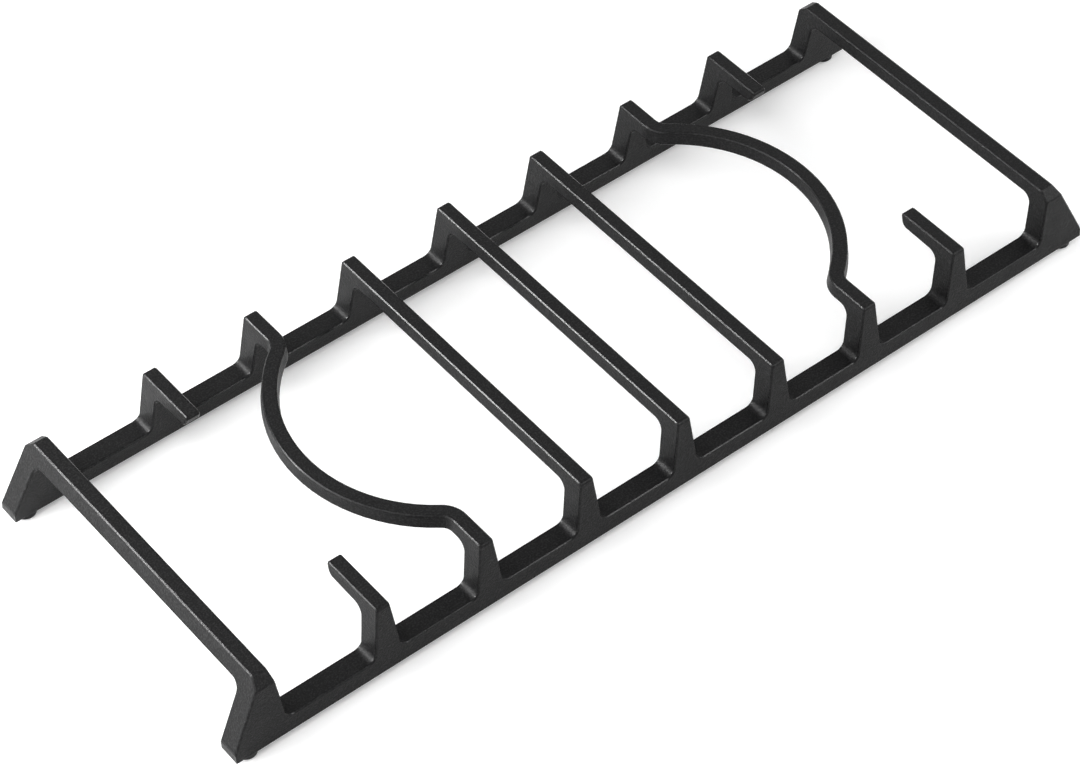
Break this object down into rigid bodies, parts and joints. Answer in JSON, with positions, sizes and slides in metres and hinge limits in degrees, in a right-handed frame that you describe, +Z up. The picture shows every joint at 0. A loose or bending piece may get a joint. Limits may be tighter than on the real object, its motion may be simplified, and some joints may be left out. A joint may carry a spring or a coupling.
{
  "type": "hob pan support",
  "caption": "Cast-iron pan support for a gas hob: a long frame of straight and bowed bars between two rails, with short fingers and low feet.",
  "frame": {"origin": "on the hob plate, under the middle of the casting", "axes": "+X along the two rails, +Y across them, +Z up"},
  "size_m": [0.4816, 0.176, 0.0415],
  "materials": {
    "enamelled_iron": "satin black enamel with a fine grain"
  },
  "bodies": {
    "root": {"pan_support": "enamelled_iron"}
  },
  "joints": []
}
